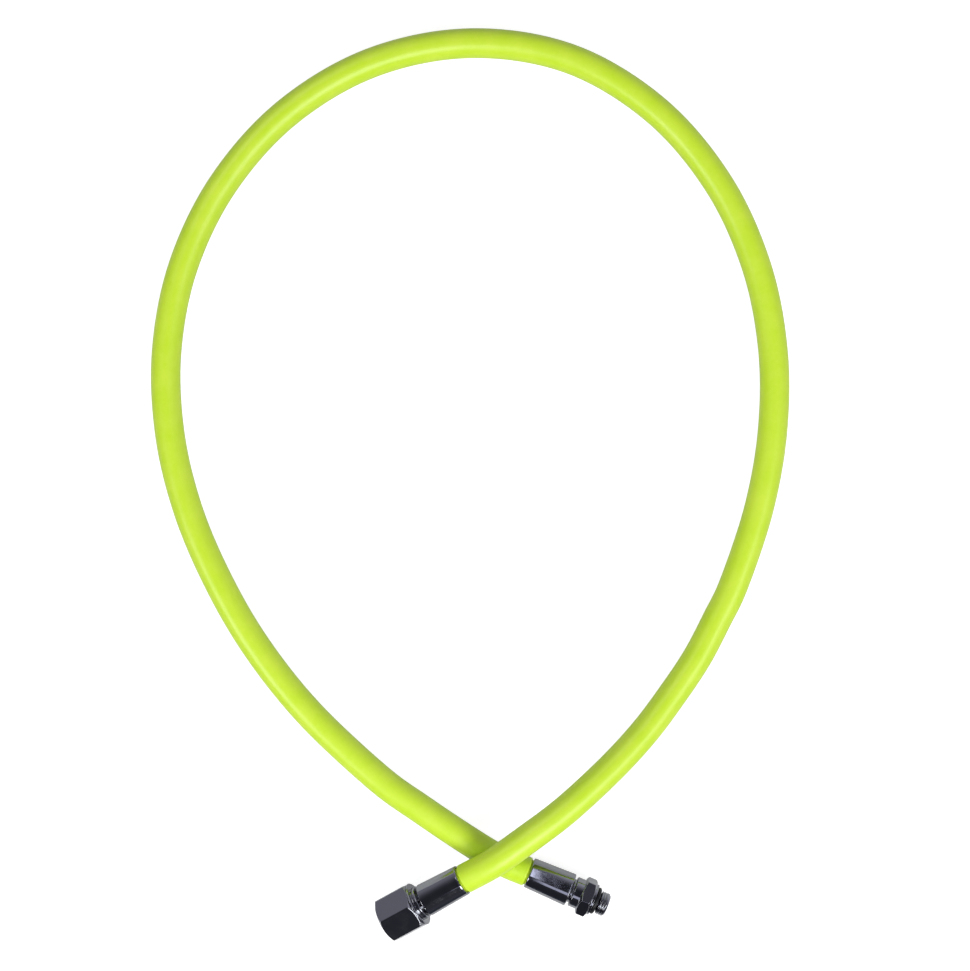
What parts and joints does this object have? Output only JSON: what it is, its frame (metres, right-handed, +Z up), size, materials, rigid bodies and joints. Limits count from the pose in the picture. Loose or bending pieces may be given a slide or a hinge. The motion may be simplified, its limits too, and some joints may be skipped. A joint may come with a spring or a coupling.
{
  "type": "regulator hose",
  "caption": "Low-pressure rubber hose for a diving regulator, laid in an open loop, with a threaded fitting at the first-stage end and a free-turning swivel nut at the second-stage end.",
  "frame": {"origin": "on the surface that the hose lies on, under the middle of the two fittings' bounding box", "axes": "+X along the fittings' span, from the swivel nut towards the threaded end; +Y from the fittings into the loop; +Z up from the surface"},
  "size_m": [0.2608, 0.3719, 0.0253],
  "materials": {
    "hose_rubber": "smooth satin yellow-green cover",
    "chromed_brass": "bright chrome plate on turned brass",
    "o_ring_rubber": "black nitrile, slightly greasy"
  },
  "bodies": {
    "hose_assembly": {"hose": "hose_rubber", "female_ferrule": "chromed_brass", "female_stem": "chromed_brass", "female_o_ring": "o_ring_rubber", "male_ferrule": "chromed_brass", "male_stem": "chromed_brass", "male_o_ring": "o_ring_rubber"},
    "nut": {"swivel_nut": "chromed_brass"}
  },
  "joints": [
    {"name": "nut_swivel", "type": "hinge", "parent": "hose_assembly", "child": "nut", "pos_m": [-0.02891, 0.00012, 0.01262], "axis": [-0.8489, -0.4961, -0.1822], "continuous": true}
  ]
}
